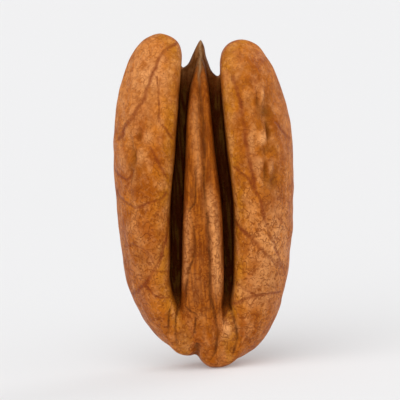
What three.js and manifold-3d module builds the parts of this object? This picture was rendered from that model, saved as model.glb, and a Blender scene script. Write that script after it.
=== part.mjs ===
// A shelled pecan half: one kernel in its skin, standing on the small flat spot at its base end.
// Millimetres, +Z up, the grooved outer face towards -Y and the flatter inner face towards +Y.
import * as THREE from 'three';
import { ParametricGeometry } from 'three/addons/geometries/ParametricGeometry.js';
import { mergeVertices } from 'three/addons/utils/BufferGeometryUtils.js';
import Module from 'manifold-3d';

// Driving dimensions
const LENGTH = 30;
const WIDTH = 16.2;
const THICKNESS = 7.6;
const LEAN_DEG = 4; // the kernel leans this far to its right, which puts its weight over the foot
const FOOT_CUT = 0.2; // height of the base that is worn away to leave the flat spot

// Each body of the kernel is a closed section carried up a list of stations, from base to top.
// A station is [outer x, outer z, inner x, inner z, front, back]: its two edges in the front view, x in
// percent of half the width and z in percent of the length, and how far its front and back stand
// forward of the flat inner face, in percent of the thickness. The first and last stations are points.
const LEFT_LOBE = [
  [-16, 3.4, -16, 3.4, 43, 43],
  [-50, 8, -12, 9.8, 76, 12],
  [-73, 16.9, -22, 17.8, 87, 5],
  [-86.3, 26, -33.5, 26.1, 91, 2],
  [-92.8, 38.6, -35.5, 38, 95, 1],
  [-97, 50.7, -34.5, 50.4, 97, 0],
  [-100, 63.2, -29.5, 63.2, 96, 0],
  [-96.7, 77.1, -26.5, 77.1, 89, 2],
  [-86.8, 88.4, -24.2, 88.4, 77, 7],
  [-74, 95.7, -24, 94, 64, 14],
  [-61.5, 98.7, -29.6, 97.7, 53, 24],
  [-45, 100, -45, 100, 38, 38],
];
const RIGHT_LOBE = [
  [27, 1, 27, 1, 43, 43],
  [61, 5.8, 20, 9.2, 75, 12],
  [82.6, 15.2, 24, 17.2, 86, 5],
  [91.6, 25.4, 30.5, 26.1, 91, 2],
  [97.2, 37.1, 31, 38, 95, 1],
  [99.5, 49.8, 29.5, 49.8, 97, 0],
  [99.3, 62.6, 24, 62.6, 96, 0],
  [92.8, 76.5, 19.4, 76.5, 89, 2],
  [78, 88.4, 17.2, 87.8, 77, 7],
  [64.8, 94.6, 19.2, 93.7, 64, 14],
  [53.3, 97.3, 28, 97, 53, 24],
  [40.6, 98.2, 40.6, 98.2, 38, 38],
];
const RIDGE = [
  [4, 4.6, 4, 4.6, 48, 48],
  [-25, 9.8, 31, 9.8, 79, 30],
  [-27, 17.8, 26, 17.8, 87, 30],
  [-27, 26.1, 23, 26.1, 90, 30],
  [-24.2, 38, 22, 38, 93, 30],
  [-22, 49.8, 19.5, 49.8, 93, 30],
  [-20.5, 61.7, 13.8, 61.7, 90, 30],
  [-19.5, 73.6, 9.2, 73.6, 82, 28],
  [-16.5, 82.5, 6, 82.5, 70, 26],
  [-11, 88, 2.5, 88, 56, 25],
  [-4.4, 93, -4.4, 93, 36, 36],
];
const WEB_AND_TIP = [
  [0, 6.8, 0, 6.8, 30, 30],
  [-31.9, 14.2, 31.9, 14.2, 36, 12],
  [-42.8, 23.1, 42.8, 23.1, 36, 10],
  [-48, 49.8, 48, 49.8, 35, 9],
  [-45, 76.5, 42.8, 76.5, 34, 9],
  [-37, 85, 32, 82.8, 34, 10],
  [-24.7, 88.6, 16.5, 86.1, 34, 11],
  [-17.6, 90, 8, 88.4, 34, 12],
  [-13.2, 92.4, 3.2, 91.8, 33, 13],
  [-9, 94.9, 0.8, 94.9, 30, 16],
  [-6, 96.9, -1.4, 96.9, 27, 19],
  [-3.6, 97.9, -3.6, 97.9, 23, 23],
];
const RIGHT_HEEL = [
  [13.5, -1, 13.5, -1, 44, 44],
  [-3.5, 0.9, 34, 1.2, 72, 14],
  [-8, 4.2, 44, 4.4, 77, 7],
  [-9, 9.8, 46, 10.3, 81, 8],
  [-3, 18, 34, 18, 83, 20],
  [12, 25.5, 12, 25.5, 50, 50],
];
const LEFT_HEEL = [
  [-18, 3.7, -18, 3.7, 43, 43],
  [-32, 5, -7.4, 4.8, 68, 14],
  [-44, 9.8, -4, 9.8, 79, 9],
  [-40, 16, -4, 17, 82, 20],
  [-22, 23, -22, 23, 50, 50],
];

// Closed sections as [across, forward]: across runs from -1 at the outer edge to 1 at the inner edge,
// forward from -1 at the back to 1 at the front.
const LOBE_SECTION = [
  [1, 0.15], [0.94, 0.74], [0.72, 0.95], [0.3, 1], [-0.25, 0.87], [-0.74, 0.43], [-1, -0.16],
  [-0.9, -0.74], [-0.5, -0.96], [0.3, -1], [0.9, -0.85], [1, -0.4],
];
const RIDGE_SECTION = [
  [1, 0.1], [0.92, 0.74], [0.68, 1], [0.34, 0.93], [-0.1, 0.97], [-0.66, 0.93], [-0.93, 0.66],
  [-1, 0.1], [-0.9, -0.8], [0, -1], [0.9, -0.8],
];
const ROUND_SECTION = [
  [1, 0], [0.78, 0.78], [0, 1], [-0.78, 0.78], [-1, 0], [-0.78, -0.78], [0, -1], [0.78, -0.78],
];

// Shallow hollows in the outer face of the lobes: [x, z, half width, half height, depth], the first four
// in the percentages of a station and the depth in millimetres.
const HOLLOWS = [
  [-77, 65, 8, 6, 0.16],
  [-59, 82, 10, 4, 0.1],
  [-70, 33, 13, 5.5, 0.14],
  [69, 75, 8, 4, 0.2],
  [68, 66, 8, 3, 0.16],
  [76, 57, 8, 3.5, 0.18],
  [70, 26, 13, 4.5, 0.12],
];

function hollowAt(x, z) {
  return HOLLOWS.reduce((sum, [atX, atZ, halfWidth, halfHeight, depth]) => {
    const away = ((x - atX) / halfWidth) ** 2 + ((z - atZ) / halfHeight) ** 2;
    return sum + depth * Math.exp(-away);
  }, 0);
}

// A Catmull-Rom step between the rows b and c, share f of the way, with a and d on either side.
function between(a, b, c, d, f) {
  return b.map((_, k) => {
    const slopeB = (c[k] - a[k]) / 2;
    const slopeC = (d[k] - b[k]) / 2;
    const bend = 3 * (c[k] - b[k]) - 2 * slopeB - slopeC;
    const twist = 2 * (b[k] - c[k]) + slopeB + slopeC;
    return b[k] + f * (slopeB + f * (bend + f * twist));
  });
}

// The station past an end: the one before it with its edges and faces changed over, which rounds the
// end into a dome, or, on a pointed end, the same step carried straight on.
function pastTheEnd(end, inward, pointed) {
  if (pointed) return end.map((value, k) => 2 * value - inward[k]);
  const [outerX, outerZ, innerX, innerZ, front, back] = inward;
  return [innerX, innerZ, outerX, outerZ, back, front];
}

function stationAt(stations, share, pointedTop) {
  const last = stations.length - 1;
  const row = Math.min(Math.floor(share * last), last - 1);
  const below = row > 0 ? stations[row - 1] : pastTheEnd(stations[0], stations[1], false);
  const above = row + 2 <= last
    ? stations[row + 2]
    : pastTheEnd(stations[last], stations[last - 1], pointedTop);
  return between(below, stations[row], stations[row + 1], above, share * last - row);
}

function sectionAt(section, share) {
  const count = section.length;
  const row = Math.floor(share * count) % count;
  const point = (k) => section[(row + k + count) % count];
  return between(point(-1), point(0), point(1), point(2), (share * count) % 1);
}

// The surface of one body: the section's points carried between the two edges of each station.
function body(stations, section, around, along, pointedTop = false) {
  const surface = (u, v, target) => {
    const [outerX, outerZ, innerX, innerZ, front, back] = stationAt(stations, v, pointedTop);
    const [across, forward] = sectionAt(section, u % 1);
    const x = (outerX + innerX) / 2 + across * (innerX - outerX) / 2;
    const z = (outerZ + innerZ) / 2 + across * (innerZ - outerZ) / 2;
    const rise = (front + back) / 2 + forward * (front - back) / 2;
    const y = THICKNESS * (0.5 - rise / 100) + Math.max(forward, 0) * hollowAt(x, z);
    target.set(x * WIDTH / 200, y, z * LENGTH / 100);
  };
  return new ParametricGeometry(surface, around, along);
}

const wasm = await Module();
wasm.setup();

// A closed geometry as a solid: shared vertices merged, collapsed triangles at the ends dropped.
function solidOf(geometry) {
  const bare = geometry.clone().deleteAttribute('normal').deleteAttribute('uv');
  const merged = mergeVertices(bare, 1e-4);
  const kept = [];
  for (let i = 0; i < merged.index.count; i += 3) {
    const [a, b, c] = merged.index.array.slice(i, i + 3);
    if (a !== b && b !== c && c !== a) kept.push(a, b, c);
  }
  const mesh = { numProp: 3, vertProperties: merged.attributes.position.array, triVerts: new Uint32Array(kept) };
  const solid = new wasm.Manifold(new wasm.Mesh(mesh));
  if (solid.volume() > 0) return solid;
  mesh.triVerts.reverse();
  return new wasm.Manifold(new wasm.Mesh(mesh));
}

function geometryOf(solid) {
  const { vertProperties, triVerts } = solid.getMesh();
  const geometry = new THREE.BufferGeometry();
  geometry.setAttribute('position', new THREE.BufferAttribute(vertProperties, 3));
  geometry.setIndex(new THREE.BufferAttribute(triVerts, 1));
  geometry.computeVertexNormals();
  return geometry;
}

const bodies = [
  body(LEFT_LOBE, LOBE_SECTION, 33, 42),
  body(RIGHT_LOBE, LOBE_SECTION, 33, 42),
  body(RIDGE, RIDGE_SECTION, 30, 40),
  body(WEB_AND_TIP, ROUND_SECTION, 24, 40, true),
  body(RIGHT_HEEL, ROUND_SECTION, 24, 20),
  body(LEFT_HEEL, ROUND_SECTION, 24, 16),
];
const lean = THREE.MathUtils.degToRad(LEAN_DEG);
const [first, ...others] = bodies.map((geometry) => solidOf(geometry.rotateY(lean)));
const grown = others.reduce((whole, solid) => whole.add(solid), first);

// The flat spot: everything under the foot's level is taken away.
const lowest = geometryOf(grown);
lowest.computeBoundingBox();
const footLevel = lowest.boundingBox.min.z + FOOT_CUT;
const ground = new THREE.BoxGeometry(4 * WIDTH, 4 * WIDTH, LENGTH).translate(0, 0, footLevel - LENGTH / 2);
const kernelGeometry = geometryOf(grown.subtract(solidOf(ground)));

const skin = new THREE.MeshStandardMaterial({ color: 0xb4692f, roughness: 0.55, metalness: 0 });
const kernel = new THREE.Mesh(kernelGeometry, skin);
kernel.name = 'pecan_half';

// The origin is under the middle of the kernel, on the surface that it stands on.
kernelGeometry.computeBoundingBox();
const middle = kernelGeometry.boundingBox.getCenter(new THREE.Vector3());
kernel.position.set(-middle.x, -middle.y, -footLevel);

const pecanHalf = new THREE.Group();
pecanHalf.add(kernel);
export default pecanHalf;
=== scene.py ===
"""A shelled pecan half, grown from lofted bodies into one veined skin, on a pale studio floor.

A place on the kernel is x, in percent of half the width from its middle line, and z, in percent of its
length from the base. Front and back are in percent of the thickness, forward of the flat inner face.
"""

import math

import bpy
import numpy as np
from mathutils import Matrix, Vector


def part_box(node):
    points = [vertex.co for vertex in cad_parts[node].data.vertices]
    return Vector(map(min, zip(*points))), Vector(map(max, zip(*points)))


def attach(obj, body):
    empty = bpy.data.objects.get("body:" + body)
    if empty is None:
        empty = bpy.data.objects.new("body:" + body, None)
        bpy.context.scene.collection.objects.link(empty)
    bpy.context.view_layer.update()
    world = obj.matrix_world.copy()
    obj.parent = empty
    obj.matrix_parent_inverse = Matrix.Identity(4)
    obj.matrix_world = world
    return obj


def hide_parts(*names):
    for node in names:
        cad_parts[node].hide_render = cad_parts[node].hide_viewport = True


bl_info = {
    "name": "Shelled Pecan Half",
    "version": (1, 0, 0),
    "blender": (4, 5, 0),
    "location": "View3D > Sidebar > Pecan",
    "description": "Builds a shelled pecan half in its veined skin and sets it on a pale studio floor",
    "category": "Add Mesh",
}

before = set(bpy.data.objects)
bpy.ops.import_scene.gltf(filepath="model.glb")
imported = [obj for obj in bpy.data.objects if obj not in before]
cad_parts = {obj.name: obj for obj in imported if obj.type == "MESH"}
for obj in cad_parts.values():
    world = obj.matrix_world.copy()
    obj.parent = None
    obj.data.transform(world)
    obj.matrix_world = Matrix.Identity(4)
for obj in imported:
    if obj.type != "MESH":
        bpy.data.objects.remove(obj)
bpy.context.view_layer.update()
NODE = "pecan_half"
NODE_LOW, NODE_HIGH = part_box(NODE)
MM = 0.001

# Columns of a station, which is the outline of a body at one height.
OUTER_X, OUTER_Z, INNER_X, INNER_Z, FRONT, BACK = range(6)

# Stations of each body, from base to top. The first and last are points.
LEFT_LOBE = [
    (-16, 2.9, -16, 2.9, 43, 43),
    (-50, 7.9, -12, 9.8, 76, 12),
    (-73, 16.7, -27.5, 17.8, 87, 5),
    (-86.3, 26, -36.4, 26.1, 91, 2),
    (-92.8, 38.6, -36.5, 38, 95, 1),
    (-97, 50.7, -36, 50.4, 97, 0),
    (-100, 63.2, -31.8, 63.2, 96, 0),
    (-96.7, 77.1, -28, 77.1, 89, 2),
    (-86.8, 88.2, -25.2, 88.2, 77, 7),
    (-74, 95.3, -24.4, 93.7, 64, 14),
    (-61.5, 98.2, -29.6, 97.2, 53, 24),
    (-45, 99.4, -45, 99.4, 38, 38),
]
RIGHT_LOBE = [
    (27, 1, 27, 1, 43, 43),
    (61, 5.5, 20, 9.2, 75, 12),
    (82.6, 15.2, 25.5, 17.2, 86, 5),
    (91.6, 25.4, 31.6, 26.1, 91, 2),
    (97.2, 37.1, 32.4, 38, 95, 1),
    (99.5, 49.8, 31.5, 49.8, 97, 0),
    (99.3, 62.6, 26, 62.6, 96, 0),
    (92.8, 76.5, 20.6, 76.5, 89, 2),
    (78, 88.1, 17.8, 87.6, 77, 7),
    (64.8, 94.2, 19.2, 93.3, 64, 14),
    (53.3, 96.8, 28, 96.5, 53, 24),
    (40.6, 97.7, 40.6, 97.7, 38, 38),
]
RIDGE = [
    (4, 4.6, 4, 4.6, 48, 48),
    (-25, 9.8, 31, 9.8, 79, 30),
    (-25.5, 17.8, 23.5, 17.8, 87, 30),
    (-24.8, 26.1, 22, 26.1, 90, 30),
    (-24.2, 38, 21.6, 38, 93, 30),
    (-22.6, 49.8, 19.5, 49.8, 93, 30),
    (-20.7, 61.7, 13.8, 61.7, 90, 30),
    (-19.2, 73.6, 9, 73.6, 82, 28),
    (-16, 82.5, 6, 82.5, 70, 26),
    (-11, 88, 2.5, 88, 56, 25),
    (-4.4, 93, -4.4, 93, 36, 36),
]
WEB_AND_TIP = [
    (0, 6.8, 0, 6.8, 30, 30),
    (-31.9, 14.2, 31.9, 14.2, 66, 12),
    (-42.8, 23.1, 42.8, 23.1, 56, 10),
    (-45, 33, 45, 33, 49, 10),
    (-48, 49.8, 48, 49.8, 47, 9),
    (-47, 64, 45, 64, 45, 9),
    (-45, 76.5, 42.8, 76.5, 40, 9),
    (-37, 85, 32, 82.8, 35, 10),
    (-24.7, 88.6, 16.5, 86.1, 34, 11),
    (-17.6, 90, 8, 88.4, 34, 12),
    (-13.2, 92.4, 3.2, 91.8, 33, 13),
    (-9, 94.9, 0.8, 94.9, 30, 16),
    (-6, 96.9, -1.4, 96.9, 27, 19),
    (-3.6, 97.9, -3.6, 97.9, 23, 23),
]
RIGHT_HEEL = [
    (14.5, -1, 14.5, -1, 44, 44),
    (1, 0.6, 31, 1.1, 70, 16),
    (-6.5, 3.6, 43, 4.5, 77, 7),
    (-9, 9.8, 46, 10.3, 82, 8),
    (-3, 15.5, 34, 15.5, 84, 20),
    (12, 22, 12, 22, 50, 50),
]
LEFT_HEEL = [
    (-18, 3.0, -18, 3.0, 43, 43),
    (-32, 4.6, -7.4, 4, 68, 14),
    (-44, 9.6, -4, 9.8, 79, 9),
    (-38, 13.8, -4, 14.6, 83, 20),
    (-22, 20, -22, 20, 50, 50),
]

# Closed sections as (across, forward), from -1 to 1: outer to inner edge, back to front.
LOBE_SECTION = [
    (1, 0.15), (0.94, 0.74), (0.72, 0.95), (0.3, 1), (-0.25, 0.87), (-0.74, 0.43), (-1, -0.16),
    (-0.9, -0.74), (-0.5, -0.96), (0.3, -1), (0.9, -0.85), (1, -0.4),
]
RIDGE_SECTION = [
    (1, 0.1), (0.92, 0.74), (0.68, 1), (0.34, 0.93), (-0.1, 0.97), (-0.66, 0.93), (-0.93, 0.66),
    (-1, 0.1), (-0.9, -0.8), (0, -1), (0.9, -0.8),
]
ROUND_SECTION = [
    (1, 0), (0.78, 0.78), (0, 1), (-0.78, 0.78), (-1, 0), (-0.78, -0.78), (0, -1), (0.78, -0.78),
]
BLUNT_SECTION = [
    (1, 0), (0.9, 0.84), (0, 1), (-0.9, 0.84), (-1, 0), (-0.86, -0.84), (0, -1), (0.86, -0.84),
]

# Bodies that grow together: stations, section, points around, points along, pointed top or domed.
BODIES = [
    (LEFT_LOBE, LOBE_SECTION, 110, 176, False),
    (RIGHT_LOBE, LOBE_SECTION, 110, 176, False),
    (RIDGE, RIDGE_SECTION, 80, 160, False),
    (WEB_AND_TIP, ROUND_SECTION, 64, 160, True),
    (RIGHT_HEEL, BLUNT_SECTION, 64, 60, False),
    (LEFT_HEEL, BLUNT_SECTION, 64, 60, False),
]

# Hollows of the outer face, bumps where depth is below zero: x, z, half width, half height, depth in mm.
HOLLOWS = [
    (67.5, 76.6, 6.6, 4.4, 0.24),
    (58.5, 80.6, 1.9, 2.8, 0.24),
    (70, 71.3, 2.4, 3.0, 0.32),
    (67, 65.9, 6.4, 1.6, 0.28),
    (67, 60.3, 2.2, 3.2, 0.28),
    (76, 57, 6.6, 2.2, 0.2),
    (51, 69.2, 3.6, 2.6, -0.18),
    (63.2, 69.4, 4.2, 2.6, -0.28),
    (63, 81.8, 2.4, 2.2, -0.2),
    (58, 62, 7.7, 2.7, -0.14),
    (72.5, 60.5, 2.8, 2.7, -0.18),
    (80, 81, 5.5, 3.6, 0.14),
    (-71, 70.2, 2.8, 2.4, 0.26),
    (-80.6, 67.3, 2.2, 2.3, 0.28),
    (-76, 63.6, 2.2, 2.5, 0.24),
    (-80.4, 59.4, 2.6, 2.2, 0.26),
    (-82, 71.5, 4.4, 1.8, -0.12),
    (-60.5, 70, 5.5, 2.1, -0.16),
    (-69.5, 64.5, 4, 2.7, -0.16),
    (-89, 62.5, 4.4, 2.7, -0.12),
    (-70.5, 33, 13.2, 5.3, 0.14),
    (70.5, 26, 13.2, 4.2, 0.12),
    (-59.5, 82.5, 9.9, 3, 0.1),
    (25, 12.5, 5, 2.6, -0.22),
]

# Folds of the ridge and the base: width in mm, depth in mm, then points as (x, z) in percent.
CREASES = [
    (0.2, 0.22, [(-4, 97), (-4.2, 93), (-4.5, 88.5), (-4, 82.5), (-1, 73.5), (0, 66), (0, 57), (1.5, 51),
                 (5, 40.5), (6, 32), (6.5, 23), (11, 17), (14.5, 13.5), (14.5, 8.5), (12, 5), (5.5, 2)]),
    (0.16, 0.12, [(-9, 63), (-9.5, 54), (-11, 50.5), (-15.5, 48.5), (-16, 47.5)]),
    (0.16, 0.12, [(-14, 46.5), (-11, 41.5), (-10, 36.5), (-14.5, 32), (-18, 28), (-20.5, 23), (-21, 19.5)]),
    (0.14, 0.1, [(-22, 19.5), (-15.5, 18), (-7.5, 17)]),
    (0.16, 0.14, [(-28, 19.5), (-30, 16), (-31.5, 12), (-30, 6.5)]),
    (0.16, 0.12, [(-36.5, 19), (-38.5, 16.5), (-39.5, 10)]),
    (0.3, 0.4, [(-9, -2), (-8.6, 2), (-8.4, 5), (-7.8, 8)]),
    (0.15, 0.1, [(-8.6, 16.5), (-9.9, 13.4), (-11, 10.5)]),
    (0.2, 0.2, [(24, 27), (23.5, 22), (23, 16.5), (21.5, 13.5)]),
    (0.2, 0.16, [(26, 21), (30, 17), (35, 13.5), (36, 8.5), (31.5, 4)]),
]

# Pale seam down the tip and the top of the ridge, as (x, z) in percent.
SEAM = [(-3.4, 97), (-4, 93), (-5, 88.5), (-5.5, 83), (-4, 77), (-1.5, 72)]

# Raised strands of the ridge: width in mm, height in mm, then points as (x, z) in percent.
STRANDS = [
    (0.5, 0.22, [(4, 58), (6.5, 51), (10.5, 44), (12.5, 36), (14, 27), (16, 18)]),
    (0.35, 0.14, [(-17.5, 52), (-17.5, 42), (-19.5, 31), (-22, 22)]),
    (0.35, 0.12, [(-9, 84), (-10, 73), (-7, 62), (-5, 52)]),
]

# Shallow channels of the flat inner face: width in mm, depth in mm, then points as (x, z) in percent.
BACK_CHANNELS = [
    (1.2, 0.9, [(-4, 95), (-4, 82), (-2, 62), (2, 42), (5, 22), (8, 10)]),
    (0.45, 0.3, [(-21, 86), (-27, 68), (-29, 48), (-24, 28), (-12, 14)]),
    (0.45, 0.3, [(16, 84), (23, 66), (27, 46), (25, 28), (19, 14)]),
    (1.0, 0.3, [(-58, 86), (-66, 70), (-62, 52), (-66, 36), (-52, 20)]),
    (1.0, 0.3, [(54, 84), (60, 66), (58, 48), (62, 32), (52, 16)]),
]

# Main veins of the outer face: width in mm at their start and end, then points as (x, z) in percent.
FRONT_VEINS = [
    (0.2, 0.14, [(31, 87.5), (38.5, 81), (42, 76.5), (44, 70.5), (47, 66), (50.5, 61.5), (55, 55.5),
                 (61.5, 50), (68, 44), (76, 38), (88, 30)]),
    (0.14, 0.1, [(34, 61), (47, 58), (52.5, 56)]),
    (0.2, 0.14, [(33, 44.5), (50.5, 40.5), (63.5, 36.5), (78, 32.5), (88, 30)]),
    (0.18, 0.12, [(32, 20), (40.5, 21), (52.5, 22.5), (70.5, 23), (87, 22.5)]),
    (0.16, 0.1, [(35, 26.5), (46, 24.5), (57, 23)]),
    (0.1, 0.12, [(78, 74), (83, 72.4), (88, 70.6), (93, 68.6)]),
    (0.16, 0.2, [(-29.5, 97), (-45, 94.5), (-50, 92), (-58, 87), (-62, 84), (-67.5, 80), (-77, 76),
                 (-85.5, 72.5), (-92.5, 68.5)]),
    (0.07, 0.14, [(-51.5, 87.5), (-50, 83), (-48.5, 75), (-42, 72.5), (-35, 69.5)]),
    (0.1, 0.16, [(-59.5, 67), (-52.5, 64), (-44.5, 60), (-40.5, 58)]),
    (0.14, 0.12, [(-98, 59), (-83.5, 57), (-78, 60)]),
    (0.12, 0.12, [(-95.5, 53), (-89, 50.5), (-74, 49), (-62, 50.5), (-50, 51.5), (-40.5, 53.5)]),
    (0.16, 0.18, [(-37.5, 46), (-41, 41), (-44, 37.5), (-50.5, 32.5), (-58, 29), (-68, 25), (-78, 22)]),
    (0.1, 0.1, [(-56, 30), (-48.5, 30), (-39.5, 30)]),
    (0.12, 0.1, [(-63.5, 25.5), (-59.5, 24.5), (-51.5, 22.5), (-39.5, 22)]),
    (0.1, 0.1, [(-88, 36.5), (-76, 37.5), (-63.5, 36), (-55, 33)]),
]

# Main veins of the inner face, given in the same way.
BACK_VEINS = [
    (0.2, 0.12, [(-30, 88), (-42, 76), (-52, 60), (-66, 46), (-84, 34)]),
    (0.2, 0.12, [(-34, 60), (-44, 44), (-58, 28), (-66, 18)]),
    (0.14, 0.1, [(-52, 60), (-70, 62), (-90, 58)]),
    (0.14, 0.1, [(-42, 76), (-60, 82), (-80, 80)]),
    (0.2, 0.12, [(24, 84), (40, 70), (50, 54), (68, 42), (88, 36)]),
    (0.2, 0.12, [(34, 52), (44, 36), (60, 22), (68, 14)]),
    (0.14, 0.1, [(40, 70), (62, 72), (84, 66)]),
    (0.14, 0.1, [(50, 54), (46, 44), (44, 36)]),
]

# Brown stains of the outer face: x, z, half width, half height in percent, strength.
STAINS = [
    (66, 76, 13, 9, 0.55),
    (44, 84, 14, 7, 0.3),
    (-66, 54, 22, 9, 0.2),
    (80, 62, 10, 7, 0.45),
    (70, 55, 10, 6, 0.45),
    (44, 66, 8, 16, 0.3),
    (-76, 62, 9, 8, 0.4),
    (-60, 74, 7, 4, 0.35),
    (12, 7, 16, 6, 0.35),
    (-6, 80, 12, 12, 0.4),
    (34, 84, 12, 8, 0.2),
]

# Paler patches of the outer face, partly paler skin and partly painted highlight: x, z, half width, half
# height in percent, strength.
PATCHES = [
    (-64, 88, 22, 9, 1.3),
    (-84, 76, 12, 9, 0.7),
    (32, 92, 12, 5, 0.4),
    (74, 41, 18, 9, 1.3),
    (62, 24, 16, 5, 1.1),
    (66, 31, 14, 6, 0.5),
    (92, 74, 8, 12, 0.5),
    (-62, 33, 24, 12, 0.22),
    (-8, 26, 14, 9, 0.2),
    (-24, 10, 14, 6, 0.22),
    (78, 34, 16, 14, 0.4),
]

# Where a mask comes in, from none to full, by the way the surface faces in y: -1 is front, 1 is back.
FACES_OUT = (0.1, -0.3)
FACES_FRONT = (-0.2, -0.7)
FACES_IN = (0.2, 0.7)
FACES_BACK = (-0.1, 0.3)
NOT_BACK = (0.4, 0)

# Where a mask comes in by height, in percent of the length.
BASE_MELTS = (19, 12)
GROOVE_STARTS = (16.5, 23)
GROOVE_ENDS = (91, 80)
PLEAT_STARTS = (17, 21)
PLEAT_ENDS = (90, 78)
RIDGE_STARTS = (9, 21)
TIP_STARTS = (78, 89)
SEAM_STARTS = (83, 89)

# Where a mask comes in by depth below the crown of the lobes, in mm.
# The grooves' dark membrane and the painted shade deepening into them come in by this depth.
GROOVE_DEPTH = (0.6, 2.9)
PLEAT_DEPTH = (1.2, 2.0)
PLEAT_BOTTOM = (5.2, 4.2)

# Where a mask comes in by y in mm, which grows from front to back.
GROOVE_BACK = (1.9, 1.3)
TIP_FRONT = (-0.7, 0.5)

# How far a mask reaches outside and inside a pair of edges, in percent of half the width.
GROOVE_MARGIN = (5, 1)
RIDGE_MARGIN = (3, 1)
WEB_MARGIN = (2, 0)
WEB_INSET = 1  # least distance of the web's edges inside those of the lobes

# Where a mask comes in by distance from the grooves, in percent of half the width.
RIM_REACH = (22, 4)
# Painted shade where the lobes and the ridge roll into the grooves.
LOBE_ROLL_SHADE = (7, -1)
RIDGE_ROLL_SHADE = (6, -1)

# Smoothing, as the share of the way to the neighbours' mean in one step.
RELAX_RATE = 0.5
MELT_RATE = 0.5

# Waves of the surface: length in mm, number of waves, seed.
LUMP_WAVES = (3.4, 24, 7)
WANDER_WAVES = (1.6, 16, 8)
SMALL_LUMP_WAVES = (1.5, 24, 9)
WAVE_SPREAD = (0.7, 1.4)  # shortest and longest wave, as shares of the length
SMALL_LUMPS = 0.45  # height of the small lumps as a share of the others
INNER_LUMPS = 1.6  # share by which all lumps are higher on the inner face

# Lines of the surface.
LINE_STEPS = 8  # points of a curve for each point that is given
CHANNEL_FADE = 0.2  # share of a channel over which each end fades
STRAND_FADE = 0.25  # share of a strand over which each end fades
FOLD_END = 0.2  # share of its size that a fold keeps at its ends
FOLD_END_RISE = 8  # how fast a fold reaches full size, per share of its length
FOLD_WANDER = 0.4  # share of the wander that folds follow
FOLD_SHOWS = 0.3  # mask of the front above which a fold shows
VEIN_HIDING = 4  # widths added to a vein's distance, times what its facing mask lacks of a half
FAR = 9.0  # distance, in widths of a line, of what lies far from every line

# Strength of the marks.
SEAM_WIDTH = 0.1  # in mm
HOLLOW_SHADE = 3.4  # painted shade for each mm of a hollow's depth
BUMP_HIGHLIGHT = 7.222  # painted highlight for each mm of a bump's height
STRAND_HIGHLIGHT = 5.0  # painted highlight for each mm of a strand's height

# Coordinates of the skin drawn out along the kernel, as scales in x, y and z.
GRAIN_STRETCH = (1.3, 1.3, 0.7)
STREAK_STRETCH = (4.4, 4.4, 0.36)

# The stage.
WHITE = (1.0, 1.0, 1.0, 1.0)
NEAR_CLIP = 0.02  # nearest thing that the camera sees, as a share of its distance from the kernel


def smoothstep(low, high, value):
    """0 at low, 1 at high, and the cubic 3t^2 - 2t^3 between them, where low may be the greater."""
    share = np.clip((value - low) / (high - low), 0, 1)
    return share * share * (3 - 2 * share)


def within(value, low, high, outside, inside):
    """1 between two edges, falling to 0 from a little inside each edge to a little outside it."""
    above = smoothstep(low - outside, low + inside, value)
    return above * smoothstep(high + outside, high - inside, value)


def spline(rows, shares):
    """Catmull-Rom curve through all rows but the first and last, read at shares from 0 to 1.

    Between two rows the curve is the cubic whose slope at each row is half the step between its neighbours.
    """
    spans = len(rows) - 3
    place = shares * spans
    row = np.minimum(place.astype(int), spans - 1)
    part = (place - row)[:, None]
    before, start, end, after = (rows[row + k] for k in range(4))
    slope_start = (end - before) / 2
    slope_end = (after - start) / 2
    bend = 3 * (end - start) - 2 * slope_start - slope_end
    twist = 2 * (start - end) + slope_start + slope_end
    return start + part * (slope_start + part * (bend + part * twist))


def stations_with_ends(stations, pointed):
    """Stations with one more past each end.

    For a dome it is the next station with edges and faces changed over, for a point the last step again.
    """
    rows = np.array(stations, float)
    changed_over = [INNER_X, INNER_Z, OUTER_X, OUTER_Z, BACK, FRONT]
    past_top = 2 * rows[-1] - rows[-2] if pointed else rows[-2][changed_over]
    return np.vstack([rows[1][changed_over], rows, past_top])


def to_mm(shape, x, rise, z):
    """Percent of half width, of thickness forward of the back and of length, as a point in mm."""
    y = shape.thickness / MM * (0.5 - rise / 100)
    return np.stack([x * shape.width / MM / 200, y, z * shape.length / MM / 100], axis=-1)


def to_percent(shape, points):
    """Points in mm as x in percent of half the width and z in percent of the length."""
    return points[:, 0] / shape.width * MM * 200, points[:, 2] / shape.length * MM * 100


def body_surface(shape, stations, section, around, along, pointed):
    """Points, four-sided and three-sided faces of one body: a closed section carried up its stations.

    A point is the middle of its station, plus across times half the step from outer to inner edge, plus
    forward times half the step from back to front. Each end is one point.
    """
    rows = spline(stations_with_ends(stations, pointed), np.linspace(0, 1, along + 1))[:, None, :]
    loop = np.array(section[-1:] + section + section[:2], float)
    across, forward = spline(loop, np.arange(around) / around).T[:, None, :]
    outer_x, outer_z, inner_x, inner_z, front, back = np.moveaxis(rows, 2, 0)
    x = (outer_x + inner_x) / 2 + across * (inner_x - outer_x) / 2
    z = (outer_z + inner_z) / 2 + across * (inner_z - outer_z) / 2
    rise = (front + back) / 2 + forward * (front - back) / 2
    grid = to_mm(shape, x, rise, z)
    points = np.vstack([grid[0, :1], grid[1:-1].reshape(-1, 3), grid[-1, :1]])
    last = len(points) - 1
    ring = np.arange(around)
    following = (ring + 1) % around
    base = 1 + np.arange(along - 2)[:, None] * around
    walls = [base + ring, base + following, base + around + following, base + around + ring]
    bottom = [0 * ring, 1 + following, 1 + ring]
    top = [last - around + ring, last - around + following, 0 * ring + last]
    fans = np.vstack([np.stack(bottom, -1), np.stack(top, -1)])
    return points, np.stack(walls, -1).reshape(-1, 4), fans


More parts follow.
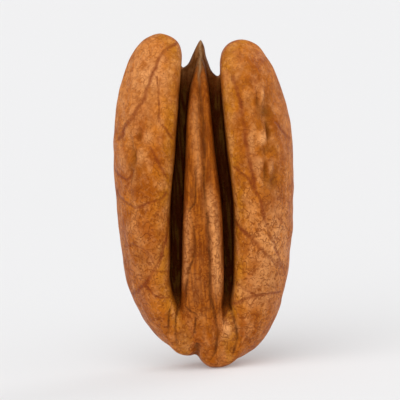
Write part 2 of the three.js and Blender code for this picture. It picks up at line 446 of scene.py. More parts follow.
def grown_together(shape):
    """One closed skin around all the bodies: their surfaces joined, remeshed on a fine grid and relaxed."""
    points, faces, count = [], [], 0
    for body in BODIES:
        body_points, walls, fans = body_surface(shape, *body)
        points.append(body_points)
        faces += (walls + count).tolist() + (fans + count).tolist()
        count += len(body_points)
    mesh = bpy.data.meshes.new("kernel_bodies")
    mesh.from_pydata(np.vstack(points), [], faces)
    bodies = bpy.data.objects.new("kernel_bodies", mesh)
    bpy.context.scene.collection.objects.link(bodies)
    remesh = bodies.modifiers.new("grown together", "REMESH")
    remesh.mode = "VOXEL"
    remesh.voxel_size = shape.grid / MM
    relax = bodies.modifiers.new("relaxed", "SMOOTH")
    relax.factor = RELAX_RATE
    relax.iterations = shape.relax_steps
    grown = bpy.data.meshes.new_from_object(bodies.evaluated_get(bpy.context.evaluated_depsgraph_get()))
    bpy.data.objects.remove(bodies)
    bpy.data.meshes.remove(mesh)
    return grown


def read_points(mesh):
    """The mesh's points, one row each."""
    points = np.empty(len(mesh.vertices) * 3)
    mesh.vertices.foreach_get("co", points)
    return points.reshape(-1, 3)


def write_points(mesh, points):
    """Moves the mesh's points to these rows."""
    mesh.vertices.foreach_set("co", points.ravel())
    mesh.update()


def read_normals(mesh):
    """The outward normals of the mesh's points, one row each."""
    normals = np.empty(len(mesh.vertices) * 3)
    mesh.vertex_normals.foreach_get("vector", normals)
    return normals.reshape(-1, 3)


def melted(mesh, points, amount, steps):
    """Points moved towards the mean of their neighbours, by amount from 0 to 1, over a number of steps."""
    ends = np.empty(len(mesh.edges) * 2, int)
    mesh.edges.foreach_get("vertices", ends)
    first, second = ends.reshape(-1, 2).T
    here, there = np.concatenate([first, second]), np.concatenate([second, first])
    neighbours = np.bincount(here, minlength=len(points))
    for _ in range(steps):
        sums = [np.bincount(here, points[there, axis], len(points)) for axis in range(3)]
        points = points + amount[:, None] * (np.stack(sums, 1) / neighbours[:, None] - points)
    return points


def spots(x, z, places):
    """Sum of round bells exp(-d^2), d being the distance from each place in its own half sizes."""
    total = np.zeros_like(x)
    for at_x, at_z, half_width, half_height, strength in places:
        total += strength * np.exp(-((x - at_x) / half_width) ** 2 - ((z - at_z) / half_height) ** 2)
    return total


def line_distance(shape, x, z, points):
    """Distance in mm of each (x, z) from a smooth line through points, and the share along it."""
    scale = np.array([shape.width / 200, shape.length / 100]) / MM
    rows = np.array(points, float)
    rows = np.vstack([2 * rows[0] - rows[1], rows, 2 * rows[-1] - rows[-2]])
    line = spline(rows, np.linspace(0, 1, LINE_STEPS * len(points))) * scale
    spot = np.stack([x, z], 1) * scale
    best, along = np.full(len(spot), np.inf), np.zeros(len(spot))
    for k, (start, end) in enumerate(zip(line[:-1], line[1:])):
        step = end - start
        share = np.clip((spot - start) @ step / (step @ step), 0, 1)
        away = np.linalg.norm(spot - start - share[:, None] * step, axis=1)
        along = np.where(away < best, (k + share) / (len(line) - 1), along)
        best = np.minimum(best, away)
    return best, along


def raised_lines(shape, x, z, lines, fade_share):
    """Greatest height in mm of any line: its height times the bell exp(-(d/w)^2), fading over its ends."""
    height = np.zeros(len(x))
    for width, high, points in lines:
        away, along = line_distance(shape, x, z, points)
        fade = smoothstep(0, fade_share, along) * smoothstep(1, 1 - fade_share, along)
        height = np.maximum(height, high * fade * np.exp(-(away / width) ** 2))
    return height


def folds(shape, x, z):
    """Distance from the nearest fold in its widths, and the greatest depth in mm of any fold.

    The depth falls off as the bell exp(-(d/w)^2), and depth and width shrink over the ends of the fold.
    """
    nearest, depth = np.full(len(x), FAR), np.zeros(len(x))
    for width, deep, points in CREASES:
        away, along = line_distance(shape, x, z, points)
        shrunk = np.minimum(1, FOLD_END_RISE * np.minimum(along, 1 - along) + FOLD_END)
        nearest = np.minimum(nearest, away / (width * shrunk))
        depth = np.maximum(depth, deep * shrunk * np.exp(-(away / width) ** 2))
    return nearest, depth


def vein_distance(shape, x, z, veins, facing):
    """Distance from the nearest vein in its widths, longer where facing, from 0 to 1, is below a half."""
    hidden = VEIN_HIDING * np.clip(0.5 - facing, 0, 1)
    nearest = np.full(len(x), FAR)
    for start, end, points in veins:
        away, along = line_distance(shape, x, z, points)
        width = start + (end - start) * along
        nearest = np.minimum(nearest, away / width + hidden)
    return nearest


def waves(points, length, count, seed):
    """Sum of count sine waves of about one length in mm, in random directions, between about -1 and 1."""
    draw = np.random.default_rng(seed)
    total = np.zeros(len(points))
    for _ in range(count):
        direction = draw.normal(size=3)
        direction *= 2 * math.pi / (np.linalg.norm(direction) * length * draw.uniform(*WAVE_SPREAD))
        total += np.sin(points @ direction + draw.uniform(0, 2 * math.pi))
    return total / math.sqrt(count)


def station_column(stations, height, column, heights):
    """One column of a body's stations, read at heights along it in percent of the length."""
    rows = np.array(stations, float)
    return np.interp(heights, rows[:, height], rows[:, column])


class Surface:
    """The kernel's points before its relief is pressed in: their places, edges near them and main masks."""

    def __init__(self, shape, points, normals):
        self.shape, self.points = shape, points
        self.x, self.z = to_percent(shape, points)
        self.facing = normals[:, 1]
        self.outer = smoothstep(*FACES_OUT, self.facing)
        self.inner = smoothstep(*FACES_IN, self.facing)
        self.left_edge = station_column(LEFT_LOBE, INNER_Z, INNER_X, self.z)
        self.right_edge = station_column(RIGHT_LOBE, INNER_Z, INNER_X, self.z)
        self.between = within(self.x, self.left_edge, self.right_edge, *GROOVE_MARGIN)
        crown_rise = station_column(LEFT_LOBE, OUTER_Z, FRONT, self.z)
        self.depth = points[:, 1] - to_mm(shape, self.x, crown_rise, self.z)[:, 1]
        self.reach = smoothstep(*GROOVE_STARTS, self.z) * smoothstep(*GROOVE_ENDS, self.z)
        # Groove mask, growing with depth: dark membrane and painted shade in the grooves.
        deep = smoothstep(*GROOVE_DEPTH, self.depth) * smoothstep(*GROOVE_BACK, points[:, 1])
        self.groove = self.between * deep * self.reach
        self.front = self.outer * (1 - self.groove)
        self.hollows = spots(self.x, self.z, HOLLOWS)
        self.strand = raised_lines(shape, self.x, self.z, STRANDS, STRAND_FADE)
        self.strayed = self.x + shape.wander / shape.width * 200 * waves(points, *WANDER_WAVES)
        channel = raised_lines(shape, self.strayed, self.z, BACK_CHANNELS, CHANNEL_FADE)
        self.channel = self.inner * channel
        fold_x = self.x + FOLD_WANDER * (self.strayed - self.x)
        self.fold, self.fold_depth = folds(shape, fold_x, self.z)


def sunk_depth(surface):
    """How far each point sinks in mm: hollows, plus folds less strands, plus channels, plus lumps."""
    lumps = waves(surface.points, *LUMP_WAVES) + SMALL_LUMPS * waves(surface.points, *SMALL_LUMP_WAVES)
    lumps *= surface.shape.lumps / MM * (1 - surface.groove) * (1 + INNER_LUMPS * surface.inner)
    lines = surface.front * (surface.fold_depth - surface.strand) + surface.channel
    return surface.outer * surface.hollows + lines + lumps


def groove_marks(surface):
    """Masks in and beside the grooves: groove, for the dark membrane and the painted shade deepening into
    it; roll, painted shade where the lobes and ridge roll into it; pleat, rim and ridge.
    """
    x, z = surface.x, surface.z
    ridge_left = station_column(RIDGE, OUTER_Z, OUTER_X, z)
    ridge_right = station_column(RIDGE, INNER_Z, INNER_X, z)
    ridge = within(x, ridge_left, ridge_right, *RIDGE_MARGIN)
    from_groove = np.maximum(surface.left_edge - x, x - surface.right_edge)
    from_ridge_edge = np.minimum(x - ridge_left, ridge_right - x)
    lobe_roll_shade = (1 - ridge) * smoothstep(*LOBE_ROLL_SHADE, from_groove)
    ridge_roll_shade = ridge * smoothstep(*RIDGE_ROLL_SHADE, from_ridge_edge)
    pleat_heights = smoothstep(*PLEAT_STARTS, z) * smoothstep(*PLEAT_ENDS, z)
    pleat_depths = smoothstep(*PLEAT_DEPTH, surface.depth) * smoothstep(*PLEAT_BOTTOM, surface.depth)
    pleat = surface.between * smoothstep(*FACES_FRONT, surface.facing) * pleat_depths
    return {
        "groove": surface.groove,
        "roll": np.maximum(lobe_roll_shade, ridge_roll_shade) * surface.reach * smoothstep(*NOT_BACK, surface.facing),
        "pleat": pleat * pleat_heights,
        "rim": surface.outer * smoothstep(*RIM_REACH, from_groove) * (from_groove > 0),
        "ridge": ridge * surface.front * smoothstep(*RIDGE_STARTS, z),
    }


def tip_marks(surface):
    """Masks of the tip, which is the web between the lobes near the top, and of the seam down it."""
    z = surface.z
    web_left = np.maximum(station_column(WEB_AND_TIP, OUTER_Z, OUTER_X, z), surface.left_edge + WEB_INSET)
    web_right = np.minimum(station_column(WEB_AND_TIP, INNER_Z, INNER_X, z), surface.right_edge - WEB_INSET)
    tip = within(surface.x, web_left, web_right, *WEB_MARGIN)
    seam_away = line_distance(surface.shape, surface.strayed, z, SEAM)[0]
    return {
        "tip": tip * smoothstep(*TIP_STARTS, z) * smoothstep(*TIP_FRONT, surface.points[:, 1]),
        "seam": surface.outer * np.exp(-(seam_away / SEAM_WIDTH) ** 2) * smoothstep(*SEAM_STARTS, z),
    }


def face_marks(surface):
    """Stains with painted shade in the hollows, pale patches that are partly painted highlight, painted
    highlight on raised strands and bumps, painted shade of the channels, and distances from folds and veins
    in their widths.
    """
    shape, x, z = surface.shape, surface.x, surface.z
    deepest_channel = max(deep for _, deep, _ in BACK_CHANNELS)
    # Painted highlight on raised strands and bumps.
    painted_highlight = np.maximum(STRAND_HIGHLIGHT * surface.strand, -BUMP_HIGHLIGHT * surface.hollows)
    behind = smoothstep(*FACES_BACK, surface.facing)
    front_vein = vein_distance(shape, surface.strayed, z, FRONT_VEINS, surface.front)
    back_vein = vein_distance(shape, surface.strayed, z, BACK_VEINS, behind)
    return {
        # Stains, and painted shade in the hollows.
        "stain_and_shade": surface.outer * (spots(x, z, STAINS) + HOLLOW_SHADE * np.maximum(surface.hollows, 0)),
        # Pale skin patches, partly painted highlight.
        "patch": surface.outer * spots(x, z, PATCHES),
        "strand": surface.front * painted_highlight,
        # Painted shade in the channels of the inner face.
        "channel": surface.channel / deepest_channel,
        # Distance from the folds, for the painted shade in them.
        "fold": np.where(surface.front > FOLD_SHOWS, surface.fold, FAR),
        "vein": np.minimum(front_vein, back_vein),
    }


def kernel_mesh(shape):
    """The kernel in its own upright frame: grown together, its base melted, its relief pressed in.

    Each point moves inwards along its normal by its sunk depth. The marks that the skin reads, from 0 to
    about 1 or as distances in widths of a line, are left on the points as attributes.
    """
    mesh = grown_together(shape)
    points = read_points(mesh)
    _, z = to_percent(shape, points)
    points = melted(mesh, points, MELT_RATE * smoothstep(*BASE_MELTS, z), shape.melt_steps)
    write_points(mesh, points)
    normals = read_normals(mesh)
    surface = Surface(shape, points, normals)
    write_points(mesh, points - sunk_depth(surface)[:, None] * normals)
    marks = {**groove_marks(surface), **tip_marks(surface), **face_marks(surface)}
    for name, value in marks.items():
        layer = mesh.attributes.new(name, "FLOAT", "POINT")
        layer.data.foreach_set("value", value.astype(np.float32))
    return mesh


def stood_up(shape, points):
    """Points leaned to the right about the Y axis, cut level at the foot and set on the CAD node's place."""
    cos, sin = math.cos(shape.lean), math.sin(shape.lean)
    leaned = points @ np.array([[cos, 0, -sin], [0, 1, 0], [sin, 0, cos]])
    foot = leaned[:, 2].min() + shape.foot_cut / MM
    leaned[:, 2] = np.maximum(leaned[:, 2], foot)
    low, high = leaned.min(0), leaned.max(0)
    middle = np.array([(low[0] + high[0]) / 2, (low[1] + high[1]) / 2, foot])
    node_middle = np.array([(NODE_LOW.x + NODE_HIGH.x) / 2, (NODE_LOW.y + NODE_HIGH.y) / 2, NODE_LOW.z])
    return (leaned - middle) * MM + node_middle


class Tree:
    """A short way to add and join the nodes of a node tree."""

    def __init__(self, nodes_of):
        self.nodes, self.links = nodes_of.nodes, nodes_of.links

    def add(self, kind, inputs=None, **settings):
        node = self.nodes.new(kind)
        for name, value in settings.items():
            setattr(node, name, value)
        for socket, value in (inputs or {}).items():
            self.put(node.inputs[socket], value)
        return node

    def put(self, socket, value):
        if isinstance(value, bpy.types.NodeSocket):
            self.links.new(value, socket)
        else:
            socket.default_value = value

    def math(self, operation, *values, clamp=False):
        node = self.add("ShaderNodeMath", operation=operation, use_clamp=clamp)
        for socket, value in zip(node.inputs, values):
            self.put(socket, value)
        return node.outputs[0]

    def vector(self, operation, inputs):
        return self.add("ShaderNodeVectorMath", inputs, operation=operation).outputs[0]

    def ramp(self, value, low, high, at_low=0.0, at_high=1.0):
        names = {"Value": value, "From Min": low, "From Max": high, "To Min": at_low, "To Max": at_high}
        return self.add("ShaderNodeMapRange", names, interpolation_type="SMOOTHSTEP").outputs[0]

    def noise(self, vector, per_mm, detail, output="Fac"):
        inputs = {"Vector": vector, "Scale": per_mm, "Detail": detail}
        return self.add("ShaderNodeTexNoise", inputs).outputs[output]

    def mix(self, factor, first, second):
        """Mix of two colours, which a Mix node takes at inputs 6 and 7 and gives at output 2."""
        node = self.add("ShaderNodeMix", data_type="RGBA")
        self.put(node.inputs[0], factor)
        self.put(node.inputs[6], first)
        self.put(node.inputs[7], second)
        return node.outputs[2]

    def attribute(self, name):
        return self.add("ShaderNodeAttribute", attribute_name=name).outputs["Fac"]


def vein_net_group():
    """Node group: a wandering, broken net of thin lines, from 0 off the lines to 1 on them.

    The lines are the edges of a Voronoi pattern whose coordinates are pushed about by noise. Lengths in mm.
    """
    pushes_per_cell, breaks_per_cell, break_softness = 1.3, 1.1, 0.1
    group = bpy.data.node_groups.new("vein net", "ShaderNodeTree")
    for name, kind in (("Vector", "Vector"), ("Cells per mm", "Float"), ("Wander", "Float"),
                       ("Line", "Float"), ("Whole", "Float")):
        group.interface.new_socket(name, in_out="INPUT", socket_type=f"NodeSocket{kind}")
    group.interface.new_socket("Mask", in_out="OUTPUT", socket_type="NodeSocketFloat")
    tree = Tree(group)
    given = tree.add("NodeGroupInput").outputs
    place, cells_per_mm = given["Vector"], given["Cells per mm"]
    push = tree.noise(place, tree.math("MULTIPLY", cells_per_mm, pushes_per_cell), 3.0, "Color")
    centred = tree.vector("SUBTRACT", {0: push, 1: (0.5, 0.5, 0.5)})
    pushed = tree.vector("ADD", {0: place, 1: tree.vector("SCALE", {0: centred, "Scale": given["Wander"]})})
    cells = tree.add("ShaderNodeTexVoronoi", {"Vector": pushed, "Scale": cells_per_mm},
                     feature="DISTANCE_TO_EDGE")
    width = tree.math("MULTIPLY", given["Line"], cells_per_mm)
    lines = tree.ramp(cells.outputs["Distance"], width, 0.0)
    patch = tree.noise(place, tree.math("MULTIPLY", cells_per_mm, breaks_per_cell), 2.0)
    missing = tree.math("SUBTRACT", 1.0, given["Whole"])
    broken_from = tree.math("SUBTRACT", missing, break_softness)
    broken_to = tree.math("ADD", missing, break_softness)
    result = tree.add("NodeGroupOutput")
    tree.put(result.inputs["Mask"], tree.math("MULTIPLY", lines, tree.ramp(patch, broken_from, broken_to)))
    return group


class SkinTree(Tree):
    """The node tree of the skin: its coordinates in mm, its colours and the ways that they are laid on."""

    def __init__(self, nodes_of, look):
        super().__init__(nodes_of)
        self.look = look
        place = self.add("ShaderNodeTexCoord").outputs["Object"]
        self.in_mm = self.vector("SCALE", {0: place, "Scale": 1 / MM})
        self.drawn_out = self.stretched(GRAIN_STRETCH)
        self.streaked = self.stretched(STREAK_STRETCH)
        self.streaks = self.clouds(self.streaked, per_mm=1.0, detail=4.0, thin=0.38, thick=0.62)

    def stretched(self, scale):
        """The coordinates scaled, which draws a pattern out where the scale is small."""
        return self.add("ShaderNodeMapping", {"Vector": self.in_mm, "Scale": scale}).outputs[0]

    def clouds(self, vector, per_mm, detail, thin, thick, least=0.0, most=1.0):
        """Noise with so many bumps per mm, as a mask from least where it is thin to most where thick."""
        return self.ramp(self.noise(vector, per_mm, detail), thin, thick, least, most)

    def colour(self, name):
        return (*getattr(self.look, name), 1.0)

    def part(self, share, amount):
        """An amount of a mask, kept between 0 and 1."""
        return self.math("MULTIPLY", share, amount, clamp=True)

    def cover(self, skin, name, mask, strength=1.0):
        """The skin so far with a colour laid over it where the mask is."""
        return self.mix(self.part(mask, strength), skin, self.colour(name))

    def streak(self, skin, first, second, mask, strength):
        """The skin so far with two colours in long streaks laid over it where the mask is."""
        streaks = self.mix(self.streaks, self.colour(first), self.colour(second))
        return self.mix(self.part(mask, strength), skin, streaks)

    def net(self, group, cells_per_mm, wander, line, whole):
        """Mask of a net of veins, of which about the share that is whole is left."""
        inputs = {"Vector": self.in_mm, "Cells per mm": cells_per_mm, "Wander": wander, "Line": line,
                  "Whole": whole}
        return self.add("ShaderNodeGroup", inputs, node_tree=group).outputs["Mask"]

    def squiggles(self, per_mm, thin):
        """Mask of short winding lines: where noise is within thin of its mean, broken up by other noise."""
        pieces_per_mm = 1.1 * per_mm + 0.2
        line_core = 0.2 * thin
        winding = self.math("SUBTRACT", self.noise(self.in_mm, per_mm, detail=2.0), 0.5)
        pieces = self.clouds(self.in_mm, pieces_per_mm, detail=1.0, thin=0.43, thick=0.53)
        return self.math("MULTIPLY", self.ramp(self.math("ABSOLUTE", winding), thin, line_core), pieces)


def skin_ground(tree):
    """Ground of the skin: deep and golden brown, yellower beside the grooves, with pale and red clouds."""
    mottle = tree.clouds(tree.in_mm, per_mm=0.4, detail=5.0, thin=0.36, thick=0.64)
    skin = tree.mix(mottle, tree.colour("deep"), tree.colour("golden"))
    skin = tree.cover(skin, "rim_yellow", tree.attribute("rim"), strength=0.7)
    grain = tree.clouds(tree.drawn_out, per_mm=0.9, detail=4.0, thin=0.42, thick=0.68)
    skin = tree.cover(skin, "pale", grain, strength=0.4)
    blush = tree.clouds(tree.drawn_out, per_mm=0.55, detail=4.0, thin=0.48, thick=0.66)
    skin = tree.cover(skin, "blush", blush, strength=0.45)
    crumbs = tree.noise(tree.in_mm, per_mm=2.7, detail=3.0)
    skin = tree.cover(skin, "pale", tree.ramp(crumbs, low=0.52, high=0.68), strength=0.2)
    return tree.cover(skin, "vein_red", tree.ramp(crumbs, low=0.48, high=0.34), strength=0.2)


def skin_patches(tree, skin):
    """Streaks of the ridge, pale patches with painted highlight on them and on raised strands and bumps, and
    brown stains with painted shade in the hollows and channels, over the skin so far.
    """
    skin = tree.streak(skin, "ridge_gold", "ridge_brown", tree.attribute("ridge"), strength=0.85)
    broken = tree.clouds(tree.in_mm, per_mm=1.2, detail=4.0, thin=0.3, thick=0.62, least=0.25)
    # Pale patches, partly painted highlight, with painted highlight on raised strands and bumps.
    patch = tree.math("MULTIPLY", tree.attribute("patch"), broken)
    raised = tree.math("MAXIMUM", patch, tree.attribute("strand"))
    skin = tree.cover(skin, "pale", raised, strength=0.6)
    uneven = tree.clouds(tree.in_mm, per_mm=1.1, detail=3.0, thin=0.3, thick=0.6, least=0.2)
    stain_and_shade = tree.math("MULTIPLY", tree.attribute("stain_and_shade"), uneven)
    # Painted shade in the channels of the inner face.
    stain_and_shade = tree.math("MAXIMUM", stain_and_shade, tree.part(tree.attribute("channel"), amount=0.9))
    return tree.cover(skin, "stain_and_shade_brown", stain_and_shade, strength=0.7)


def faint_lines(tree):
    """Mask of the fine lines: a wide and a fine broken net, and squiggles that weaken towards the top."""
    net = vein_net_group()
    wide_net = tree.net(net, cells_per_mm=0.5, wander=1.4, line=0.16, whole=0.5)
    fine_net = tree.net(net, cells_per_mm=1.5, wander=0.8, line=0.09, whole=0.5)
    nets = tree.math("MAXIMUM", tree.part(wide_net, amount=0.3), tree.part(fine_net, amount=0.3))
    small = tree.part(tree.squiggles(per_mm=2.3, thin=0.065), amount=0.75)
    squiggles = tree.math("MAXIMUM", tree.squiggles(per_mm=1.4, thin=0.05), small)
    heights = tree.add("ShaderNodeSeparateXYZ", {0: tree.in_mm}).outputs["Z"]
    lower = tree.ramp(heights, low=22.0, high=12.0, at_low=0.65)
    return tree.math("MAXIMUM", nets, tree.part(tree.math("MULTIPLY", squiggles, lower), amount=0.7))


def vein_and_fold(tree):
    """Masks of the main veins and of the painted shade in the folds, from their distances, with edges made
    uneven by noise.
    """
    vein_reach, fold_reach, wobble_reach = 1.6, 1.1, 1.3
    uneven = tree.math("SUBTRACT", tree.noise(tree.in_mm, per_mm=2.5, detail=3.0), 0.5)
    wobble = tree.math("MULTIPLY", uneven, wobble_reach)
    vein = tree.ramp(tree.math("ADD", tree.attribute("vein"), wobble), vein_reach, 0.0)
    fold_edge = tree.math("ADD", tree.attribute("fold"), tree.part(wobble, amount=0.4))
    fold = tree.ramp(fold_edge, fold_reach, 0.0)
    return vein, fold


def freckles(tree):
    """Mask of small round dots, in some of the cells of a Voronoi pattern."""
    cells_per_mm = 2.1
    cells = tree.add("ShaderNodeTexVoronoi", {"Vector": tree.in_mm, "Scale": cells_per_mm})
    dots = tree.ramp(cells.outputs["Distance"], low=0.2, high=0.08)
    drawn = tree.add("ShaderNodeSeparateColor", {0: cells.outputs["Color"]}).outputs[0]
    return tree.math("MULTIPLY", dots, tree.ramp(drawn, low=0.6, high=0.7))


def skin_lines(tree, skin, faint, vein, fold):
    """Fine lines, main veins, freckles and painted shade in the folds, over the skin so far."""
    skin = tree.cover(skin, "vein_red", faint)
    vein_strength = tree.clouds(
        tree.in_mm, per_mm=0.5, detail=2.0, thin=0.3, thick=0.65, least=0.46, most=0.84)
    skin = tree.cover(skin, "vein_dark", tree.math("MULTIPLY", vein, vein_strength))
    skin = tree.cover(skin, "fold_shade_and_freckles", freckles(tree), strength=0.5)
    # Painted shade at the bottom of the folds.
    fold_strength = tree.clouds(
        tree.in_mm, per_mm=0.7, detail=2.0, thin=0.35, thick=0.6, least=0.5, most=0.88)
    return tree.cover(skin, "fold_shade_and_freckles", tree.math("MULTIPLY", fold, fold_strength))


def skin_tip_and_grooves(tree, skin):
    """Dull streaked tip with its seam, and black pleated grooves of dark membrane and painted shade
    deepening into them, with painted shade on their edges, over the skin so far.
    """
    skin = tree.streak(skin, "tip_olive", "tip_grey", tree.attribute("tip"), strength=0.9)
    skin = tree.cover(skin, "seam_pale", tree.attribute("seam"), strength=0.7)
    # Painted shade where the lobes and ridge roll into the grooves, then dark membrane with painted shade
    # deepening into them.
    skin = tree.cover(skin, "roll_shade", tree.attribute("roll"), strength=0.45)
    skin = tree.cover(skin, "groove_membrane_and_shade", tree.attribute("groove"))
    pleats = tree.clouds(tree.streaked, per_mm=0.8, detail=2.0, thin=0.46, thick=0.62)
    return tree.cover(skin, "pleat_olive", tree.math("MULTIPLY", tree.attribute("pleat"), pleats))


def skin_relief(tree, faint, vein):
    """Normal of the skin's fine relief: grain, with the fine lines and the veins sunk into it."""
    fine_grain = tree.part(tree.noise(tree.in_mm, per_mm=5.0, detail=3.0), amount=0.2)
    relief = tree.math("ADD", tree.noise(tree.drawn_out, per_mm=1.1, detail=4.0), fine_grain)
    relief = tree.math("SUBTRACT", relief, tree.part(faint, amount=0.4))
    relief = tree.math("SUBTRACT", relief, tree.part(vein, amount=0.3))
    return tree.add("ShaderNodeBump", {"Height": relief, "Strength": 0.8, "Distance": 0.2 * MM}).outputs[0]


def kernel_skin(look):
    """The skin: mottled golden brown with nets of veins, main veins, folds with painted shade, black grooves
    of dark membrane and painted shade, painted highlights on pale patches and strands, and a dull tip.
    """
    material = bpy.data.materials.new("kernel_skin")
    material.use_nodes = True
    material.node_tree.nodes.clear()
    tree = SkinTree(material.node_tree, look)
    faint = faint_lines(tree)
    vein, fold = vein_and_fold(tree)
    skin = skin_patches(tree, skin_ground(tree))
    skin = skin_lines(tree, skin, faint, vein, fold)
    skin = skin_tip_and_grooves(tree, skin)
    smoothest, roughest = look.roughness - 0.06, look.roughness + 0.08
    rough = tree.clouds(
        tree.in_mm, per_mm=0.9, detail=3.0, thin=0.3, thick=0.7, least=smoothest, most=roughest)
    shader = tree.add("ShaderNodeBsdfPrincipled", {
        "Base Color": skin, "Roughness": rough, "Normal": skin_relief(tree, faint, vein),
        "Specular IOR Level": look.gloss, "Specular Tint": tree.colour("sheen")})
    output = tree.add("ShaderNodeOutputMaterial")
    tree.put(output.inputs["Surface"], shader.outputs[0])
    return material


def shade_from_srgb(red, green, blue):
    """A colour given as 0 to 255 screen values, in the linear values that a shader takes."""
    screen = np.array([red, green, blue]) / 255
    return tuple(np.where(screen <= 0.04045, screen / 12.92, ((screen + 0.055) / 1.055) ** 2.4))


def number_property(name, description, default, **kind):
    """A number that a user would change, with its unit or subtype where one fits."""
    return bpy.props.FloatProperty(name=name, description=description, default=default, **kind)


def length_property(name, description, default):
    return number_property(name, description, default, unit="LENGTH", precision=5)


def angle_property(name, description, degrees):
    return number_property(name, description, math.radians(degrees), subtype="ANGLE")


def steps_property(name, description, default):
    return bpy.props.IntProperty(name=name, description=description, default=default)


def direction_property(name, description, default):
    return bpy.props.FloatVectorProperty(
        name=name, description=description, default=default, subtype="DIRECTION")


def colour_property(name, description, red, green, blue):
    default = shade_from_srgb(red, green, blue)
    return bpy.props.FloatVectorProperty(
        name=name, description=description, default=default, subtype="COLOR", min=0.0, max=1.0)


class PecanShape(bpy.types.PropertyGroup):
    """Sizes of the kernel."""

    length: length_property("Length", "From the base end to the top of the longer lobe", 30 * MM)
    width: length_property("Width", "Across both lobes", 16.2 * MM)
    thickness: length_property("Thickness", "From the flat inner face to the crown of the lobes", 7.6 * MM)
    lean: angle_property("Lean", "How far the kernel leans to its right on its foot", 4)
    foot_cut: length_property("Foot", "Height of the base that the flat spot takes away", 0.2 * MM)
    grid: length_property("Grid", "Spacing of the points on the skin", 0.14 * MM)
    lumps: length_property("Lumps", "Height of the gentle lumps of the skin", 0.035 * MM)
    wander: length_property("Wander", "How far the folds and veins stray from their lines", 0.07 * MM)
    relax_steps: steps_property("Relax", "Smoothing steps after growing together", 5)
    melt_steps: steps_property("Melt", "Smoothing steps of the base end", 32)


class PecanSkin(bpy.types.PropertyGroup):
    """Colours and gloss of the skin."""

    golden: colour_property("Golden", "Lighter ground of the skin", 194, 109, 27)
    deep: colour_property("Deep", "Darker ground of the skin", 168, 86, 17)
    blush: colour_property("Blush", "Red-brown clouds of the skin", 160, 76, 24)
    # Pale skin, and the painted highlight on the pale patches, raised strands and bumps.
    pale: colour_property("Pale", "Pale blotches and raised strands", 234, 161, 98)
    rim_yellow: colour_property("Rim", "Yellower skin beside the grooves", 190, 120, 28)
    ridge_gold: colour_property("Ridge", "Ground of the ridge", 172, 92, 21)
    ridge_brown: colour_property("Ridge streaks", "Darker streaks along the ridge", 122, 56, 8)
    # Brown stains, and painted shade in the hollows and in the channels of the inner face.
    stain_and_shade_brown: colour_property("Stain", "Dull brown stains", 122, 66, 16)
    vein_red: colour_property("Vein net", "Fine net of veins", 122, 52, 10)
    vein_dark: colour_property("Veins", "Main veins", 126, 54, 22)
    # Painted shade at the bottom of the folds, and the freckles' own dark colour.
    fold_shade_and_freckles: colour_property("Folds", "Bottom of the folds, and freckles", 94, 46, 17)
    # Painted shade, dark and red, where the lobes and the ridge roll into the grooves.
    roll_shade: colour_property("Roll-in", "Redder skin at the edges of the grooves", 110, 44, 2)
    # Dark membrane of the grooves, and the painted shade deepening into them.
    groove_membrane_and_shade: colour_property("Grooves", "Membrane in the grooves", 72, 25, 2)
    pleat_olive: colour_property("Pleats", "Pleats along the grooves", 98, 60, 16)
    tip_olive: colour_property("Tip", "Ground of the pointed tip", 80, 47, 20)
    tip_grey: colour_property("Tip streaks", "Paler streaks of the tip", 118, 79, 44)
    seam_pale: colour_property("Seam", "Pale seam down the tip", 166, 130, 92)
    sheen: colour_property("Sheen", "Warm tint of the reflections", 255, 192, 124)
    roughness: number_property("Roughness", "Mean roughness", 0.46, subtype="FACTOR")
    gloss: number_property("Gloss", "Strength of the reflections", 0.12, subtype="FACTOR")


class PecanStage(bpy.types.PropertyGroup):
    """The floor, the light and the camera."""

    floor_size: length_property("Floor", "Side of the square floor", 6.0)
    floor_shade: colour_property("Floor shade", "Colour of the floor", 208, 208, 209)
    floor_glow: number_property("Floor glow", "Light of the floor itself, which softens the shadow", 0.2)
    sky: number_property("Surround", "Strength of the even light all round", 0.4)
    key_strength: number_property("Key light", "Strength of the main light", 2.1)
    fill_strength: number_property("Fill light", "Strength of the side light", 0.7)
    back_strength: number_property("Back light", "Strength of the light behind", 0.75)
    spread: angle_property("Spread", "Angle that the main light and the side light each fill", 75)
    back_spread: angle_property("Back spread", "Angle that the back light fills", 40)
    key_from: direction_property("Key from", "Where the main light comes from", (-0.34, -0.56, 0.75))
    fill_from: direction_property("Fill from", "Where the side light comes from", (0.8, -0.5, 0.3))
    back_from: direction_property("Back from", "Where the back light comes from", (0.75, 0.5, 0.42))
    focal: number_property("Lens", "Focal length in mm", 250.0, unit="CAMERA")
    elevation: angle_property("Elevation", "Camera angle above the floor", 7)
    view_width: length_property("View", "Width of the picture at the kernel", 35.8 * MM)
    aim_right: length_property("Aim right", "Middle of the picture, right of the kernel's axis", -1.6 * MM)
    aim_up: length_property("Aim up", "Middle of the picture, up the kernel's axis", 15.05 * MM)


class PECAN_OT_kernel(bpy.types.Operator):
    """Grow the kernel half in its veined skin, in the place of its plain solid"""

    bl_idname = "pecan.kernel"
    bl_label = "Kernel Half"

    def execute(self, context):
        shape = context.scene.pecan_shape
        mesh = kernel_mesh(shape)
        write_points(mesh, stood_up(shape, read_points(mesh)))
        mesh.name = "kernel_half"
        mesh.polygons.foreach_set("use_smooth", np.ones(len(mesh.polygons), bool))
        mesh.materials.clear()
        mesh.materials.append(kernel_skin(context.scene.pecan_skin))
        kernel = bpy.data.objects.new("kernel_half", mesh)
        context.scene.collection.objects.link(kernel)
        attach(kernel, "root")
        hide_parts(NODE)
        return {"FINISHED"}


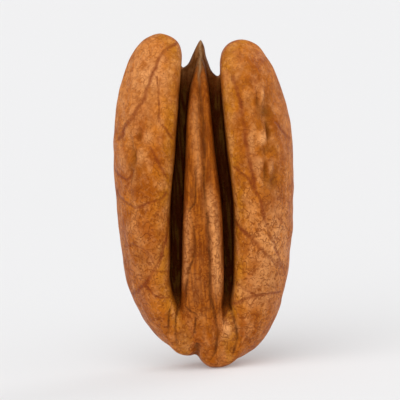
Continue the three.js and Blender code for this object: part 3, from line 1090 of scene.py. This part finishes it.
class PECAN_OT_stage(bpy.types.Operator):
    """Lay the pale floor, hang the soft lights and set up the camera"""

    bl_idname = "pecan.stage"
    bl_label = "Stage"

    def execute(self, context):
        stage = context.scene.pecan_stage
        self.lay_floor(context, stage)
        self.hang_lights(context, stage)
        self.set_camera(context, stage)
        return {"FINISHED"}

    def lay_floor(self, context, stage):
        half = stage.floor_size / 2
        corners = np.array([(-half, -half, 0), (half, -half, 0), (half, half, 0), (-half, half, 0)])
        mesh = bpy.data.meshes.new("floor")
        mesh.from_pydata(corners, [], [(0, 1, 2, 3)])
        paper = bpy.data.materials.new("floor_paper")
        paper.use_nodes = True
        shader = paper.node_tree.nodes["Principled BSDF"]
        shader.inputs["Base Color"].default_value = (*stage.floor_shade, 1.0)
        shader.inputs["Roughness"].default_value = 1.0
        shader.inputs["Specular IOR Level"].default_value = 0.0
        shader.inputs["Emission Color"].default_value = WHITE
        shader.inputs["Emission Strength"].default_value = stage.floor_glow
        mesh.materials.append(paper)
        floor = bpy.data.objects.new("floor", mesh)
        context.scene.collection.objects.link(floor)

    def hang_lights(self, context, stage):
        world = bpy.data.worlds.new("studio")
        world.use_nodes = True
        sky = world.node_tree.nodes["Background"]
        sky.inputs["Color"].default_value = WHITE
        sky.inputs["Strength"].default_value = stage.sky
        context.scene.world = world
        context.scene.view_settings.view_transform = "Standard"
        self.wide_light(context, "key", stage.key_from, stage.key_strength, stage.spread)
        self.wide_light(context, "fill", stage.fill_from, stage.fill_strength, stage.spread)
        self.wide_light(context, "back", stage.back_from, stage.back_strength, stage.back_spread)

    def wide_light(self, context, name, comes_from, strength, spread):
        data = bpy.data.lights.new(name, "SUN")
        data.energy = strength
        data.angle = spread
        light = bpy.data.objects.new(name, data)
        light.rotation_euler = Vector(comes_from).to_track_quat("Z", "Y").to_euler()
        context.scene.collection.objects.link(light)

    def set_camera(self, context, stage):
        """A camera that looks down by the elevation, rolled by the lean, which shows the kernel upright."""
        shape = context.scene.pecan_shape
        data = bpy.data.cameras.new("camera")
        data.lens = stage.focal
        camera = bpy.data.objects.new("camera", data)
        context.scene.collection.objects.link(camera)
        rise, roll = stage.elevation, shape.lean
        ahead = Vector((0, math.cos(rise), -math.sin(rise)))
        level_right = Vector((1, 0, 0))
        level_up = level_right.cross(ahead)
        up = level_up * math.cos(roll) + level_right * math.sin(roll)
        right = ahead.cross(up)
        aim = Vector((stage.aim_right, 0, stage.aim_up))
        aim.rotate(Matrix.Rotation(shape.lean, 3, "Y"))
        distance = stage.focal * stage.view_width / data.sensor_width
        turn = Matrix((right, up, -ahead)).transposed().to_4x4()
        camera.matrix_world = Matrix.Translation(aim - ahead * distance) @ turn
        data.clip_start = distance * NEAR_CLIP
        context.scene.camera = camera


class PECAN_PT_panel(bpy.types.Panel):
    """Sizes, colours and steps of the pecan half"""

    bl_idname = "PECAN_PT_panel"
    bl_label = "Pecan Half"
    bl_space_type = "VIEW_3D"
    bl_region_type = "UI"
    bl_category = "Pecan"

    def draw(self, context):
        operators = {"pecan_skin": PECAN_OT_kernel, "pecan_stage": PECAN_OT_stage}
        for name in GROUPS:
            box = self.layout.box()
            group = getattr(context.scene, name)
            for setting in group.__annotations__:
                box.prop(group, setting)
            if name in operators:
                box.operator(operators[name].bl_idname)


GROUPS = {"pecan_shape": PecanShape, "pecan_skin": PecanSkin, "pecan_stage": PecanStage}
CLASSES = (*GROUPS.values(), PECAN_OT_kernel, PECAN_OT_stage, PECAN_PT_panel)


def register():
    for cls in CLASSES:
        bpy.utils.register_class(cls)
    for name, group in GROUPS.items():
        setattr(bpy.types.Scene, name, bpy.props.PointerProperty(type=group))


def unregister():
    for name in GROUPS:
        delattr(bpy.types.Scene, name)
    for cls in reversed(CLASSES):
        bpy.utils.unregister_class(cls)


def main():
    register()
    bpy.ops.pecan.kernel()
    bpy.ops.pecan.stage()


if __name__ == "__main__":
    main()
